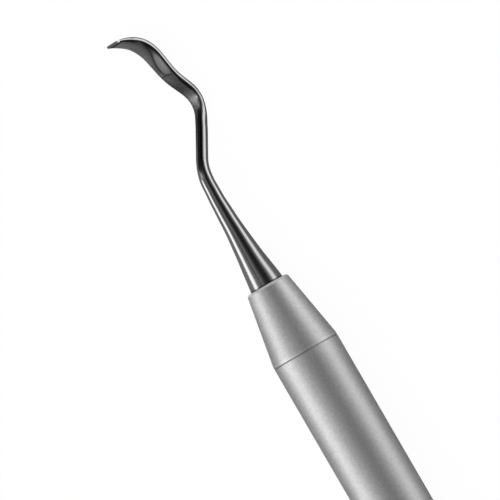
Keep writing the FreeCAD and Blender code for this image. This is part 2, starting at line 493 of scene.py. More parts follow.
def strip(value, start, end, fade):
    """1 between start and end, with a smooth step as wide as the fade at each of them."""
    rise = value.step(start - fade / 2, start + fade / 2)
    fall = value.step(end + fade / 2, end - fade / 2)
    return rise * fall


def drifting(place, level, *drifts):
    """The level + each drift's change * a smooth step of the place from its start to its end."""
    for start, end, change in drifts:
        level = level + place.step(start, end) * change
    return level


def panels(roll, share, table):
    """Glow of all panels of a table: the sum of strength * strip of rolls * strip of shares."""
    return sum(strip(roll, *rolls) * strip(share, *shares) * strength
               for strength, rolls, shares in table.values())


def make_tent_material():
    """Glow of the dome: (left box + walls) * the fade at the front + right box + small boxes."""
    material = bpy.data.materials.new("light_tent")
    tree = Tree(material)
    place = tree.add("ShaderNodeTexCoord", output="Object")
    centre = (VIEW_X, 0.0, 0.0)
    toward = tree.add("ShaderNodeVectorMath", {"operation": "SUBTRACT"}, {0: place, 1: centre})
    toward = tree.add("ShaderNodeVectorMath", {"operation": "NORMALIZE"}, {0: toward})
    share = tree.add("ShaderNodeSeparateXYZ", inputs={0: toward})
    side, height = tree.outputs_of(share, 1, 2)
    roll = (side * -1.0).math("ARCTAN2", height).math("DEGREES")
    turned = drifting(share, roll, BOXES_TURN)
    left_box = strip(turned, *LEFT_ROLLS) * strip(share, *LEFT_SHARES)
    left_box = left_box * drifting(share, *LEFT_LEVEL)
    right_box = strip(drifting(share, turned, *RIGHT_DROP), *RIGHT_ROLLS)
    right_box = right_box * strip(turned, *RIGHT_LOW_END) * drifting(share, *RIGHT_LEVEL)
    glow = (left_box + panels(roll, share, WALLS)) * drifting(share, *FRONT_FADE)
    glow = glow + right_box + panels(roll, share, SMALL_BOXES)
    glow = (glow + drifting(share, *LEAST_LIGHT)) * ROOM_LEVEL
    light = tree.add("ShaderNodeEmission", inputs={"Color": (1, 1, 1, 1), "Strength": glow})
    tree.add("ShaderNodeOutputMaterial", inputs={"Surface": light})
    material.cycles.emission_sampling = "NONE"
    return material


tent.data.materials.append(make_tent_material())
print("panels in the tent", len(WALLS) + len(SMALL_BOXES) + 2)

# %% [markdown]
# Bench card
#
# Below the horizon the steel mirrors the bench. The white floor would put a white rim on every
# piece, and the photograph has grey rims, so a grey card lies just over the floor. It too is
# seen by reflections only. Its glow is painted light and painted shadow: painted light on the
# left and far out to both sides, where the boxes would light a bench, and painted shadow under
# the handle, beside the neck and ahead of the hook. A painted card would need a picture. A few
# steps over its place do the same.

# %% Lay the bench card
# Painted light and shadow of the card: a level, lighter on the left, and the step that it takes
# over a place in millimetres: its start, end and change. The step under the tool paints its
# shadow and is read over the side squared.
CARD_LEVEL = (0.16, (-4.0, 8.0, 0.06))
SHADOW_UNDER_TOOL = (1.0, (40.0, 0.0, -0.3))
SHADOW_BESIDE_NECK = (1.0, (3.5, 1.5, -0.8))
NECK_SPOT = (70.5, 0.5)
# Painted shadow under the handle, darker behind the tail, and painted light ahead of the tip.
CARD_ALONG = {
    "under the handle": (48.0, 40.0, -0.55),
    "behind the tail": (-90.0, -120.0, -0.9),
    "ahead of the tip": (74.0, 79.0, 1.0),
}
# Corners of painted shadow: the shade, the step along the handle and the step to the side.
CARD_SHADOW_CORNERS = {
    "right of the blade": (0.35, (60.0, 66.0), (-1.5, -3.5)),
    "ahead of the hook": (0.95, (76.5, 78.5), (2.0, 4.0)),
}
# The far sides carry painted light, where the boxes would light a bench.
FAR_SIDE = (30.0, 120.0)
FAR_RIGHT = 0.22
FAR_LEFT = (0.18, (45.0, 55.0, 0.4))
FAR_LEFT_FADE = (1.0, (74.0, 86.0, -0.85))


def stretched(tree, place, scales):
    """The place with each of its axes multiplied by its own scale."""
    return tree.add("ShaderNodeVectorMath", {"operation": "MULTIPLY"}, {0: place, 1: scales})


def in_millimetres(tree, place):
    """The place's three numbers in millimetres; the first wire leads to the other two."""
    place = stretched(tree, place, (1 / MM, 1 / MM, 1 / MM))
    return tree.add("ShaderNodeSeparateXYZ", inputs={0: place})


def make_card_material():
    """Grey glow of painted light and shadow: the level * each shade over the side, the neck, the
    length and the corners, plus the painted light of the far sides. The sides are read with
    the left as positive."""
    material = bpy.data.materials.new("bench_card")
    tree = Tree(material)
    along = in_millimetres(tree, tree.add("ShaderNodeTexCoord", output="Object"))
    side = tree.outputs_of(along, 1)[0]
    from_neck = ((along - NECK_SPOT[0]) ** 2.0 + (side - NECK_SPOT[1]) ** 2.0) ** 0.5
    glow = drifting(side, *CARD_LEVEL) * drifting(side * side, *SHADOW_UNDER_TOOL)
    glow = glow * drifting(from_neck, *SHADOW_BESIDE_NECK)
    for drift in CARD_ALONG.values():
        glow = glow * drifting(along, 1.0, drift)
    for shade, step_along, step_aside in CARD_SHADOW_CORNERS.values():
        glow = glow * (1 - along.step(*step_along) * side.step(*step_aside) * shade)
    left = side.step(*FAR_SIDE) * drifting(along, *FAR_LEFT) * drifting(along, *FAR_LEFT_FADE)
    right = (side * -1.0).step(*FAR_SIDE) * FAR_RIGHT
    glow = (glow + left + right) * ROOM_LEVEL
    light = tree.add("ShaderNodeEmission", inputs={"Color": (1, 1, 1, 1), "Strength": glow})
    tree.add("ShaderNodeOutputMaterial", inputs={"Surface": light})
    material.cycles.emission_sampling = "NONE"
    return material


card = only_for_reflections(flat_sheet("bench_card", 2 * TENT_RADIUS, CARD_Z))
card.data.materials.append(make_card_material())
print("bench card at z =", CARD_Z, "mm")

# %% [markdown]
# Satin steel
#
# The handle, cone and cap are blasted with fine glass beads: a soft grey with a wide, blurred
# highlight and a grain that is only just seen. The grain is a fine noise that tips the surface
# and shades it, and a slower noise moves the shade and the roughness a little, as the blasting
# is never quite even. A picture of blasted steel could do the same, but a noise has no edges
# and stays sharp from near. Each seam has a line of painted shade in its groove and a line of
# painted highlight beside it, and the outer lip of the cone is more matt.

# %% Make the satin finish
SATIN_BASE = 0.895
SATIN_ROUGH = 0.53
SATIN_METALLIC = 0.95
GRAIN_SCALE = 3600.0
GRAIN_SHADE = 0.42
GRAIN_BUMP = 0.22
GRAIN_DEPTH = 0.02
CLOUD_SCALE = 260.0
CLOUD_SHADE = 0.05
CLOUD_ROUGH = 0.06
SEAMS = (SEAM_X, SEAM_X - HANDLE_LENGTH)
# Painted shade darkens each seam's groove, and a painted highlight lightens a line beside it.
SEAM_PAINTED_SHADE = 0.25
SEAM_WIDTHS = (0.15, 0.05)
SEAM_PAINTED_HIGHLIGHT = 0.08
SEAM_HIGHLIGHT_WIDTHS = (0.2, 0.1)
SEAM_HIGHLIGHT_SHIFT = 0.28
LIP_MATT = 0.40
LIP_BEHIND_FRONT = (0.40, 0.12)
LIP_RADII = (2.55, 2.8)


def noise(tree, place, scale, detail):
    """Noise from 0 to 1 about 0.5 at a scale given per metre."""
    values = {"Vector": place, "Scale": scale, "Detail": detail}
    return tree.add("ShaderNodeTexNoise", inputs=values)


def grey(tree, value):
    """A colour with the same value in all three channels."""
    return tree.add("ShaderNodeCombineColor", inputs={0: value, 1: value, 2: value})


def rings(along, places, widths):
    """Rings round the axis: each a smooth step of the squared distance from its place, from 0
    at the outer width to 1 at the inner one, added up."""
    return sum(((along - place) ** 2.0).step(widths[0] ** 2, widths[1] ** 2) for place in places)


def lip_mask(tree, along):
    """1 on the cone's outer lip: near its front, and far enough from the axis."""
    front = SEAM_X + CONE_LENGTH
    near_front = along.step(front - LIP_BEHIND_FRONT[0], front - LIP_BEHIND_FRONT[1])
    y, z = tree.outputs_of(along, 1, 2)
    squared = y * y + (z - HANDLE_RADIUS) ** 2.0
    return near_front * squared.step(LIP_RADII[0] ** 2, LIP_RADII[1] ** 2)


def make_satin():
    """Metal whose grain, cloudiness and rough patches are noises on the object's own place."""
    material = bpy.data.materials.new("satin_steel")
    tree = Tree(material)
    place = tree.add("ShaderNodeTexCoord", output="Object")
    along = in_millimetres(tree, place)
    grain = noise(tree, place, GRAIN_SCALE, 3.0)
    clouds = noise(tree, place, CLOUD_SCALE, 4.0)
    shade = SATIN_BASE + (clouds - 0.5) * CLOUD_SHADE + (grain - 0.5) * GRAIN_SHADE
    # Painted shade in the seam grooves, then a painted highlight beside each.
    shade = shade * (1 - rings(along, SEAMS, SEAM_WIDTHS) * SEAM_PAINTED_SHADE)
    shade = shade * (1 + rings(along, [seam + SEAM_HIGHLIGHT_SHIFT for seam in SEAMS], SEAM_HIGHLIGHT_WIDTHS) * SEAM_PAINTED_HIGHLIGHT)
    bumped = {"Strength": GRAIN_BUMP, "Distance": GRAIN_DEPTH * MM, "Height": grain}
    values = {
        "Base Color": grey(tree, shade),
        "Metallic": SATIN_METALLIC - lip_mask(tree, along) * LIP_MATT,
        "Roughness": SATIN_ROUGH + (clouds - 0.5) * CLOUD_ROUGH,
        "Normal": tree.add("ShaderNodeBump", inputs=bumped),
    }
    surface = tree.add("ShaderNodeBsdfPrincipled", inputs=values)
    tree.add("ShaderNodeOutputMaterial", inputs={"Surface": surface})
    return material


satin = make_satin()
print("satin steel", len(satin.node_tree.nodes), "nodes")

# %% [markdown]
# Handle, cone and cap
#
# All three are turned on a lathe, so each is one profile of (along, radius) points carried once
# round the axis. The rims at the seam are rounded by a tenth of a millimetre: that tiny groove
# is what the eye reads as two pieces pressed together.

# %% Turned surfaces
TURN_COLUMNS = 256
RIM_POINTS = 7


def arc_points(centre, radius, start, end, count):
    """Points (along, radius) on a circle: centre + radius * (cos, sin) of angles in even steps."""
    angle = np.linspace(start, end, count)
    return np.column_stack([centre[0] + radius * np.cos(angle), centre[1] + radius * np.sin(angle)])


def turn_profile(name, profile, closed):
    """A profile carried round the X axis: x = along, y = radius * cos, z = radius * sin.

    A closed profile joins its last row to its first. An open one starts and ends on the axis.
    """
    around = np.linspace(0.0, 2 * math.pi, TURN_COLUMNS, endpoint=False)
    rows = profile if closed else profile[1:-1]
    if closed:
        rows = np.vstack([rows, rows[:1]])
    x = np.repeat(rows[:, :1], TURN_COLUMNS, axis=1)
    y = rows[:, 1:] * np.cos(around)
    z = rows[:, 1:] * np.sin(around) + HANDLE_RADIUS
    points = np.stack([x, y, z], axis=-1).reshape(-1, 3)
    quads = grid_quads(len(rows), TURN_COLUMNS)
    triangles = np.empty((0, 3), int)
    if closed:
        points = points[:-TURN_COLUMNS]
        quads = quads % len(points)
    else:
        count = len(points)
        ends = np.array([[along, 0.0, HANDLE_RADIUS] for along in (profile[0, 0], profile[-1, 0])])
        points = np.vstack([points, ends])
        ring = np.arange(TURN_COLUMNS)
        last = ring + count - TURN_COLUMNS
        triangles = np.concatenate([fan(ring[::-1], count), fan(last, count + 1)])
    return make_piece(name, points, quads, triangles)


print("columns round each turned piece:", TURN_COLUMNS)

# %% Profiles of the three pieces
SHOULDER_POINTS = 16
LIP_POINTS = 20
TAPER_SPANS = 11
TUBE_POINTS = 54
TUBE_INSET = 2.0


def taper_outside(length, end_radius, shoulder, lip):
    """Outside of an end piece from the seam at 0: a rounded rim, an arc that leaves in line with
    the handle, a straight taper, and the arc of the lip down to the flat end face."""
    level = shoulder - (HANDLE_RADIUS - end_radius)
    slope = math.asin(shoulder / math.hypot(length, level)) - math.atan2(level, length)
    centre = (0.0, HANDLE_RADIUS - shoulder)
    leave = math.pi / 2 - math.asin(SEAM_ROUND / shoulder)
    top = centre[1] + shoulder * math.sin(leave)
    rim = arc_points((SEAM_ROUND, top - SEAM_ROUND), SEAM_ROUND, math.pi, math.pi / 2, RIM_POINTS)
    bend = arc_points(centre, shoulder, leave, math.pi / 2 - slope, SHOULDER_POINTS)
    inset = lip * (1 - math.sin(slope)) / math.cos(slope)
    lip_centre = (length - lip, end_radius - inset)
    turn = arc_points(lip_centre, lip, math.pi / 2 - slope, 0.0, LIP_POINTS)
    share = np.linspace(0.0, 1.0, TAPER_SPANS + 1)[1:-1, None]
    taper = bend[-1] * (1 - share) + turn[0] * share
    return np.vstack([rim, bend[1:], taper, turn])


def spigot():
    """The plug behind an end piece, from the axis to the face that meets the tube."""
    return np.array([
        [-SPIGOT_LENGTH, 0.0],
        [-SPIGOT_LENGTH, BORE_RADIUS - SPIGOT_CHAMFER],
        [SPIGOT_CHAMFER - SPIGOT_LENGTH, BORE_RADIUS],
        [0.0, BORE_RADIUS],
    ])


def tube_profile():
    """Closed outline of the tube's wall: the bore and the outside, with both outer rims rounded."""
    tail = -HANDLE_LENGTH
    rim = HANDLE_RADIUS - SEAM_ROUND
    back = arc_points((tail + SEAM_ROUND, rim), SEAM_ROUND, math.pi, math.pi / 2, RIM_POINTS)
    front = arc_points((-SEAM_ROUND, rim), SEAM_ROUND, math.pi / 2, 0.0, RIM_POINTS)
    along = np.linspace(tail + TUBE_INSET, -TUBE_INSET, TUBE_POINTS)
    outside = np.column_stack([along, np.full(TUBE_POINTS, HANDLE_RADIUS)])
    return np.vstack([[[tail, BORE_RADIUS]], back, outside, front, [[0.0, BORE_RADIUS]]])


def cone_profile():
    """Spigot, outside, flat front, chamfered mouth and the blind bore for the tang."""
    bore_end = CONE_LENGTH - TANG_LENGTH
    bore = [
        [CONE_LENGTH, TANG_RADIUS + MOUTH_CHAMFER],
        [CONE_LENGTH - MOUTH_CHAMFER, TANG_RADIUS],
        [bore_end, TANG_RADIUS],
        [bore_end, 0.0],
    ]
    outside = taper_outside(CONE_LENGTH, CONE_FRONT_RADIUS, CONE_SHOULDER, CONE_LIP)
    return np.vstack([spigot(), outside, bore])


def cap_profile():
    """Spigot, outside and the flat end, closed on the axis."""
    outside = taper_outside(CAP_LENGTH, CAP_END_RADIUS, CAP_SHOULDER, CAP_LIP)
    return np.vstack([spigot(), outside, [[CAP_LENGTH, 0.0]]])


print("points in the cone's profile:", len(cone_profile()))

# %% Turn the three pieces
def placed(profile, flip, place):
    """The profile with its seam at a place along X; flip makes it point to the tail."""
    return np.column_stack([profile[:, 0] * flip + place, profile[:, 1]])


tube = turn_profile("handle_tube_satin", placed(tube_profile(), 1, SEAM_X), True)
dress(tube, satin, "satin_steel", "handle_tube")
cone = turn_profile("nose_cone_satin", placed(cone_profile(), 1, SEAM_X), False)
dress(cone, satin, "satin_steel", "nose_cone")
cap = turn_profile("tail_cap_satin", placed(cap_profile(), -1, SEAM_X - HANDLE_LENGTH), False)
dress(cap, satin, "satin_steel", "tail_cap")

# %% [markdown]
# Line of the working end
#
# The working end was forged from one rod. Its middle line is straight runs and round bends in
# one plane. The heading at a place is the sum of the turns up to it, and the line is the sum of
# short steps along the heading. A real bend has no sudden start, so the turning is smeared over
# a short length first: without that, the mirror finish would show a kink at each bend.

# %% Work out the line and its laws
FINE_STEP = 0.02
BLEND_LENGTH = 0.9


def line_parts():
    """Runs and bends in order as (length, turn in radians)."""
    parts = [(SHANK_RUN, 0.0)]
    for radius, turn, run in BENDS:
        parts += [(radius * abs(math.radians(turn)), math.radians(turn)), (run, 0.0)]
    return np.array([part for part in parts if part[0] > 0])


PARTS = line_parts()
JOINTS = np.concatenate([[0.0], np.cumsum(PARTS[:, 0])])
TOTAL = float(JOINTS[-1])


def smear(at, values, length):
    """Running mean over a length, by the difference of the values' sum at both its ends."""
    total = np.concatenate([[0.0], np.cumsum((values[1:] + values[:-1]) / 2 * np.diff(at))])
    half = length / 2
    before = np.interp(at - half, at, total) - np.maximum(at[0] - at + half, 0) * values[0]
    after = np.interp(at + half, at, total) + np.maximum(at + half - at[-1], 0) * values[-1]
    return (after - before) / length


def middle_line():
    """Length, x, q and heading of the middle line; x and q are sums of cos and sin of heading."""
    at = np.arange(0.0, TOTAL + FINE_STEP / 2, FINE_STEP)
    headings = np.concatenate([[0.0], np.cumsum(PARTS[:, 1])])
    heading = smear(at, np.interp(at, JOINTS, headings), BLEND_LENGTH)
    step = np.diff(at)
    mean = (heading[1:] + heading[:-1]) / 2
    x = CONE_LENGTH + np.concatenate([[0.0], np.cumsum(np.cos(mean) * step)])
    q = np.concatenate([[0.0], np.cumsum(np.sin(mean) * step)])
    return at, x, q, heading


LINE = middle_line()
print("middle line", round(TOTAL, 2), "mm long")


def law(knots, at):
    """Smooth value between knots: cubic pieces whose slope at a knot is the harmonic mean of the
    grades on its two sides, or level where these differ in sign, so that it never overshoots."""
    place, value = np.array(knots).T
    grade = np.diff(value) / np.diff(place)
    before, after = grade[:-1], grade[1:]
    same = before * after > 0
    mean = np.where(same, 2 * before * after / np.where(same, before + after, 1.0), 0.0)
    slope = np.concatenate([[grade[0]], mean, [grade[-1]]])
    at = np.clip(at, place[0], place[-1])
    k = np.clip(np.searchsorted(place, at, side="right") - 1, 0, len(place) - 2)
    gap = place[k + 1] - place[k]
    t = (at - place[k]) / gap
    start = (1 + 2 * t) * (1 - t) ** 2 * value[k] + t * (1 - t) ** 2 * gap * slope[k]
    return start + t * t * (3 - 2 * t) * value[k + 1] - t * t * (1 - t) * gap * slope[k + 1]


# %% [markdown]
# Section of the working end
#
# The shank is round and tapers to the neck. Through the elbow the hammer flattens it to a
# strap: it gets wider and thinner, and its section goes from a circle to a box with round
# corners. Joining a round mesh to a box mesh would leave a seam, so one formula holds both:
# |across|^p + |normal|^p = 1, where p = 2 is the circle. The strap has p = 3.1 on the half with
# the inner face and p = 4 on the back's half.
#
# A rod that is bent and filed by hand leaves its drawing by a hair. Small trims of width,
# thickness and middle line, read off the photograph, are added to the drawn laws.

# %% Laws of the sections
CIRCLE_POWER = 2.0
NECK_AT = float(JOINTS[2])
FLAT_FROM = float(JOINTS[3]) - FLATTEN_LEAD
FLAT_TO = FLAT_FROM + FLATTEN_LENGTH
ROUND_KNOTS = SHANK_DIAMETERS + ((NECK_AT, NECK_DIAMETER), (FLAT_FROM, NECK_DIAMETER))
WIDTH_KNOTS = ROUND_KNOTS + (
    (FLAT_FROM + WIDEN_LENGTH, STRAP_WIDTH),
    (TOTAL - GRIND_LENGTH, BLADE_WIDTH),
    (TOTAL, EDGE_WIDTH),
)
THICK_KNOTS = ROUND_KNOTS + (
    (FLAT_TO, STRAP_THICKNESS),
    (TOTAL - GRIND_LENGTH, STRAP_THICKNESS),
    (TOTAL, EDGE_THICKNESS),
)
# Trims: places along the line and what is added there, in millimetres.
ROUND_TRIM = (
    (2.0, 0.0), (5.0, -0.08), (8.0, -0.09), (11.0, -0.025), (12.7, 0.0),
    (14.2, 0.065), (16.2, 0.13), (18.0, 0.03), (19.5, 0.0), (23.0, 0.0),
)
WIDTH_TRIM = ROUND_TRIM + (
    (25.3, -0.07), (27.5, 0.06), (29.5, 0.15), (31.0, 0.13), (32.2, 0.07), (36.5, 0.08),
    (38.0, 0.02), (39.0, -0.05), (40.1, -0.10), (41.0, -0.03), (TOTAL, 0.0),
)
THICK_TRIM = ROUND_TRIM + (
    (25.3, -0.04), (27.5, 0.0), (37.8, 0.0), (40.0, -0.14), (TOTAL, 0.0),
)
LINE_TRIM = (
    (1.0, 0.0), (4.0, 0.053), (8.0, 0.055), (10.5, 0.088), (12.7, 0.088), (15.0, 0.0),
    (23.0, 0.01), (25.6, 0.10), (28.2, 0.0), (38.5, 0.0), (40.2, 0.06), (TOTAL, 0.06),
)
FACE_KNOTS = ((FLAT_FROM, CIRCLE_POWER), (FLAT_TO, FACE_SQUARENESS))
BACK_KNOTS = ((FLAT_FROM, CIRCLE_POWER), (FLAT_TO, BACK_SQUARENESS))
print("flattened from", round(FLAT_FROM, 2), "to", round(FLAT_TO, 2), "mm along the line")


# %% Sections along the line
def width_at(at):
    """Width of the section: the drawn law and its small trim."""
    return law(WIDTH_KNOTS, at) + law(WIDTH_TRIM, at)


def thickness_at(at):
    """Thickness of the section: the drawn law and its small trim."""
    return law(THICK_KNOTS, at) + law(THICK_TRIM, at)


def unit_section(angle, at):
    """The point of |a|^p + |n|^p = 1 in the direction (cos, sin) of an angle; p is one law on
    the inner face's half, where sin is positive, and another on the back's half."""
    c = np.cos(angle)
    s = np.sin(angle)
    power = np.where(s > 0, law(FACE_KNOTS, at), law(BACK_KNOTS, at))
    reach = (np.abs(c) ** power + np.abs(s) ** power) ** (-1 / power)
    return c * reach, s * reach


def section_points(at, a, n):
    """Points of the section at lengths along the line: across = a * half width, less the lean of
    the sides, and normal = n * half thickness + the line's trim, set square to the heading."""
    line_at, line_x, line_q, line_h = LINE
    x, q, h = (np.interp(at, line_at, values) for values in (line_x, line_q, line_h))
    normal = n * thickness_at(at) / 2
    flatness = (law(BACK_KNOTS, at) - CIRCLE_POWER) / (BACK_SQUARENESS - CIRCLE_POWER)
    across = a * (width_at(at) / 2 - normal * SIDE_LEAN * flatness)
    normal = normal + law(LINE_TRIM, at)
    return x - normal * np.sin(h), q + normal * np.cos(h), across


def laid_down(x, q, w):
    """The bends' plane rolled about the handle's axis by the lie angle r and moved to its place:
    y = q * cos r - w * sin r and z = q * sin r + w * cos r + the handle's radius."""
    y = q * math.cos(LIE_ANGLE) - w * math.sin(LIE_ANGLE)
    z = q * math.sin(LIE_ANGLE) + w * math.cos(LIE_ANGLE) + HANDLE_RADIUS
    return np.stack([x + SEAM_X, y, z], axis=-1)


print("widest section", round(float(width_at(LINE[0])[LINE[0] > FLAT_TO].max()), 2), "mm")

# %% [markdown]
# Cutting edge
#
# The end is ground by one bevel on the inner face, and both corners are broken by a small flat.
# Each lengthwise line of the surface ends where it meets the first of these three planes. The
# length at which it does is found by halving: twenty times, for all lines at once.

# %% Where each line ends
HALVINGS = 20
END_X, END_Q, END_H = (float(values[-1]) for values in LINE[1:])


def past_the_cut(at, a, n):
    """Largest signed distance of a point beyond the bevel's plane and the two corner planes."""
    x, q, w = section_points(at, a, n)
    x = x - END_X - math.sin(END_H) * EDGE_THICKNESS / 2
    q = q - END_Q + math.cos(END_H) * EDGE_THICKNESS / 2
    ahead = x * math.cos(END_H) + q * math.sin(END_H)
    face = -x * math.sin(END_H) + q * math.cos(END_H)
    bevel = ahead * math.sin(BEVEL_ANGLE) + face * math.cos(BEVEL_ANGLE)
    corner = (ahead + np.abs(w) - (EDGE_WIDTH / 2 - EDGE_CORNER)) * math.sqrt(0.5)
    return np.maximum(bevel, corner)


def end_of_line(a, n):
    """Length at which the line of section shares (a, n) meets the cut, by halving."""
    low = np.full(np.shape(a), TOTAL - GRIND_LENGTH)
    high = np.full(np.shape(a), TOTAL)
    for _ in range(HALVINGS):
        middle = (low + high) / 2
        beyond = past_the_cut(middle, a, n) > 0
        high = np.where(beyond, middle, high)
        low = np.where(beyond, low, middle)
    return low


cut_ends = end_of_line(np.zeros(2), np.array([1.0, -1.0]))
print("bevel from", cut_ends[0].round(2), "to", cut_ends[1].round(2), "mm along the line")

# %% [markdown]
# Working end
#
# Rows of the grid are sections: a few for the hidden tang, then one for each tenth of a
# millimetre of shank and strap. The last rows are drawn back line by line, so that the final
# one lies exactly on the cut. A knife or a boolean could make that cut too, but it would leave
# long thin faces, which a mirror finish shows. The ground end is a second small grid between
# the two faces.

# %% Grids of the working end
AROUND = 128
HALF = AROUND // 2
ROW_STEP = 0.11
CUT_ROWS = 30
END_ROWS = 8
STEP_GAP = 0.02
ANGLES = np.linspace(0.0, 2 * math.pi, AROUND, endpoint=False)


def strap_rows():
    """Length, share across and share of thickness for each point of the rings."""
    body_end = TOTAL - GRIND_LENGTH
    body = np.linspace(0.0, body_end, int(body_end / ROW_STEP))[:, None] * np.ones(AROUND)
    end_a, end_n = unit_section(ANGLES, TOTAL)
    share = (np.arange(1, CUT_ROWS + 1) / CUT_ROWS)[:, None]
    cut = body_end + share * (end_of_line(end_a, end_n) - body_end)
    at = np.vstack([body, cut])
    a, n = unit_section(ANGLES[None, :], at)
    return at, a, n


def tang_rows():
    """Length, across and normal of the tang's rings: chamfered end, straight side, the step."""
    at = np.array([-TANG_LENGTH, TANG_CHAMFER - TANG_LENGTH, -STEP_GAP])[:, None] * np.ones(AROUND)
    radius = np.array([TANG_RADIUS - TANG_CHAMFER, TANG_RADIUS, TANG_RADIUS])[:, None]
    return at, radius * np.cos(ANGLES), radius * np.sin(ANGLES)


def end_rows(a, n):
    """Shares (a, n) between each point of the inner face's half ring and the one behind it."""
    share = (np.arange(1, END_ROWS) / END_ROWS)[:, None]
    top = slice(1, HALF)
    low = slice(AROUND - 1, HALF, -1)
    return a[top] * (1 - share) + a[low] * share, n[top] * (1 - share) + n[low] * share


def end_faces(first_ring, first_inner):
    """Quads and triangles of the ground end: rows between the two half rings, and the two
    points at the ends of the half rings joined to the outermost column by a fan."""
    inner = np.arange((END_ROWS - 1) * (HALF - 1)).reshape(END_ROWS - 1, HALF - 1) + first_inner
    top = np.arange(1, HALF) + first_ring
    low = np.arange(AROUND - 1, HALF, -1) + first_ring
    rows = np.vstack([top, inner, low])
    quads = [rows[:-1, :-1], rows[:-1, 1:], rows[1:, 1:], rows[1:, :-1]]
    near, far = rows[:, 0], rows[:, -1]
    fans = [
        np.column_stack([near[1:], np.full(END_ROWS, first_ring), near[:-1]]),
        np.column_stack([far[:-1], np.full(END_ROWS, first_ring + HALF), far[1:]]),
    ]
    return np.stack(quads, axis=-1).reshape(-1, 4), np.concatenate(fans)


print("rings of the working end:", len(tang_rows()[0]) + len(strap_rows()[0]))

# %% [markdown]
# Marks for the finish
#
# The strap's inner face is ground, not polished. On it lies a dark curve with darker and
# lighter parts round it, a painted reflection, and dark lines of painted shade run along its
# rims and the bevel. They could be painted on the mesh by hand. Here each is a formula of the
# place on the rod, so that it follows the bends. The mesh keeps five values for its finish: the
# place on the straightened rod, the mask of the ground inner face, the distance inside the border
# of the painted reflection, the mask of the dark lines of painted shade, and the mark of the
# ground end.

# %% Work out the marks
# The ground face starts on a slant past the elbow and stops short of the strap's round rims.
FACE_SLANT = 2.0
FACE_FROM = FLAT_FROM + 0.5
FACE_TO = FLAT_FROM + 1.8
FACE_NORMALS = (0.2, 0.5)
RIM_FADE = 0.1
RIM_KNOTS = (
    (FLAT_FROM, 0.70), (32.0, 0.74), (34.0, 0.87), (38.0, 0.89), (40.0, 0.82), (TOTAL, 0.82),
)
LOW_RIM = 0.84
# Dark lines of painted shade, where rounded edges would mirror the dark ceiling: along the
# bevel, on the rim near the tip, and along the strap's upper rim.
SHADE_LINES_BEHIND_CUT = (0.5, 0.3)
SHADE_LINES_NORMALS = (0.1, 0.4)
TIP_RIM = (0.76, 0.82)
TIP_RIM_ALONG = (38.6, 40.2)
EDGE_SHARES = (0.84, 0.91)
EDGE_NORMALS = (0.15, 0.35)
EDGE_KNOTS = ((30.5, 0.0), (32.5, 0.7), (38.0, 0.8), (TOTAL, 0.8))
# Border of the painted reflection: places along the line and the place across the strap there.
PAINTED_REFLECTION_KNOTS = (
    (32.5, 2.2), (32.75, 0.9), (32.93, 0.15), (33.3, -0.04), (33.8, -0.11), (34.5, -0.04),
    (35.1, 0.15), (35.7, 0.42), (36.3, 0.74), (36.9, 0.98), (37.4, 1.14), (38.0, 1.37),
    (38.6, 1.8),
)


def ramp(value, start, end):
    """Smooth step in numpy: 3 t^2 - 2 t^3 of the value's share t between start and end."""
    t = np.clip((value - start) / (end - start), 0.0, 1.0)
    return t * t * (3 - 2 * t)


def inner_face_mask(at, a, n):
    """1 on the ground inner face: above the middle, inside the round rims, past the elbow."""
    rim = np.where(a > 0, law(RIM_KNOTS, at), LOW_RIM)
    start = ramp(at - FACE_SLANT * a, FACE_FROM, FACE_TO)
    return ramp(n, *FACE_NORMALS) * ramp(np.abs(a), rim, rim - RIM_FADE) * start


def shade_lines_mask(at, a, n):
    """1 on the painted shade lines: the largest of the bevel's, the tip rim's and the upper rim's.
    """
    bevel = ramp(end_of_line(a, n) - at, *SHADE_LINES_BEHIND_CUT)
    rim = ramp(a, *TIP_RIM) * ramp(at, *TIP_RIM_ALONG)
    edge = ramp(a, *EDGE_SHARES) * ramp(n, *EDGE_NORMALS) * law(EDGE_KNOTS, at)
    return np.maximum(np.maximum(bevel, rim) * ramp(n, *SHADE_LINES_NORMALS), edge)


def inside_painted_reflection(at, across):
    """Distance of a place inside the border of the painted reflection: the difference from the
    border's law across the strap, divided by the root of 1 + the square of the border's slope."""
    fine = np.arange(PAINTED_REFLECTION_KNOTS[0][0], PAINTED_REFLECTION_KNOTS[-1][0], FINE_STEP)
    border = law(PAINTED_REFLECTION_KNOTS, fine)
    slope = np.gradient(border, fine)
    gap = across - np.interp(at, fine, border)
    return gap / np.sqrt(1 + np.interp(at, fine, slope) ** 2)


print("ground face from", round(FACE_FROM, 2), "mm along the line")


# %% Build the working end
OUTSIDE = -1.0


def keep(piece, name, kind, domain, values):
    """An attribute of the mesh that its finish can read."""
    field = "vector" if kind == "FLOAT_VECTOR" else "value"
    layer = piece.data.attributes.new(name, kind, domain)
    layer.data.foreach_set(field, np.ascontiguousarray(values, dtype=np.float32).ravel())


def straightened(at, a, n):
    """Place on the straightened rod: length along it, a * half width, n * half thickness."""
    return np.stack([at, a * width_at(at) / 2, n * thickness_at(at) / 2], axis=-1)


def on_rings(values, start, count, elsewhere):
    """One value for each of all points: those of the rings from a start on, or the value else."""
    result = np.full(count, elsewhere)
    result[start:start + values.size] = values.ravel()
    return result


